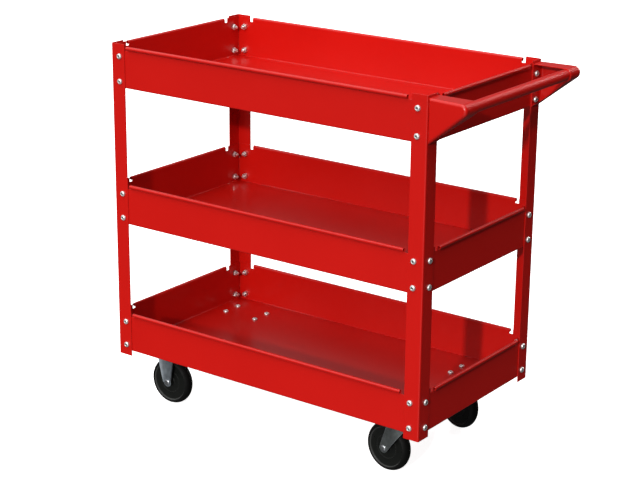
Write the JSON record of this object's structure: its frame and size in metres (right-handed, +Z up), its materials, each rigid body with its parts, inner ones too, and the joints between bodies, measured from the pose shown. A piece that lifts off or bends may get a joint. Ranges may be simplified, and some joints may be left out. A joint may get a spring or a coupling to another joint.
{
  "type": "workshop trolley",
  "caption": "Workshop trolley with stacked folded-steel trays between angle posts, a tubular push handle at one end, and fixed and swivel casters.",
  "frame": {"origin": "on the floor, under the middle of the overall box", "axes": "+X along the trolley towards the push handle, +Y across it, +Z up"},
  "size_m": [0.7372, 0.3668, 0.686],
  "materials": {
    "red_paint": "gloss",
    "bright_zinc": "bright zinc",
    "zinc_plate": "satin zinc",
    "steel_pins": "satin",
    "black_wheel": "matte"
  },
  "bodies": {
    "frame": {"post_front_left": "red_paint", "post_front_right": "red_paint", "post_rear_left": "red_paint", "post_rear_right": "red_paint", "tray_bottom": "red_paint", "tray_middle": "red_paint", "tray_top": "red_paint", "handle_bracket_front": "red_paint", "handle_bracket_rear": "red_paint", "handle_tube": "red_paint", "corner_screws_bottom": "bright_zinc", "corner_screws_middle": "bright_zinc", "corner_screws_top": "bright_zinc", "caster_screws": "bright_zinc", "corner_nuts_bottom": "bright_zinc", "corner_nuts_middle": "bright_zinc", "corner_nuts_top": "bright_zinc", "caster_nuts": "bright_zinc", "fixed_plate_front": "zinc_plate", "fixed_plate_rear": "zinc_plate", "swivel_plate_front": "zinc_plate", "swivel_plate_rear": "zinc_plate", "fixed_fork_front": "zinc_plate", "fixed_fork_rear": "zinc_plate", "fixed_axle_front": "steel_pins", "fixed_axle_rear": "steel_pins", "ball_race_front": "steel_pins", "ball_race_rear": "steel_pins", "kingpin_front": "steel_pins", "kingpin_rear": "steel_pins"},
    "swivel_front": {"swivel_fork_front": "zinc_plate", "swivel_axle_front": "steel_pins"},
    "fixed_roller_front": {"fixed_wheel_front": "black_wheel"},
    "swivel_roller_front": {"swivel_wheel_front": "black_wheel"},
    "swivel_rear": {"swivel_fork_rear": "zinc_plate", "swivel_axle_rear": "steel_pins"},
    "fixed_roller_rear": {"fixed_wheel_rear": "black_wheel"},
    "swivel_roller_rear": {"swivel_wheel_rear": "black_wheel"}
  },
  "joints": [
    {"name": "fixed_wheel_front_roll", "type": "hinge", "parent": "frame", "child": "fixed_roller_front", "pos_m": [-0.29385, -0.1105, 0.044], "axis": [0, 1, 0], "continuous": true},
    {"name": "swivel_front_turn", "type": "hinge", "parent": "frame", "child": "swivel_front", "pos_m": [0.22515, -0.1105, 0.112], "axis": [0, 0, 1], "continuous": true},
    {"name": "swivel_wheel_front_roll", "type": "hinge", "parent": "swivel_front", "child": "swivel_roller_front", "pos_m": [0.19233, -0.10705, 0.044], "axis": [0.1045, 0.9945, 0], "continuous": true},
    {"name": "fixed_wheel_rear_roll", "type": "hinge", "parent": "frame", "child": "fixed_roller_rear", "pos_m": [-0.29385, 0.1105, 0.044], "axis": [0, 1, 0], "continuous": true},
    {"name": "swivel_rear_turn", "type": "hinge", "parent": "frame", "child": "swivel_rear", "pos_m": [0.22515, 0.1105, 0.112], "axis": [0, 0, 1], "continuous": true},
    {"name": "swivel_wheel_rear_roll", "type": "hinge", "parent": "swivel_rear", "child": "swivel_roller_rear", "pos_m": [0.19343, 0.1196, 0.044], "axis": [0.2756, 0.9613, 0], "continuous": true}
  ]
}
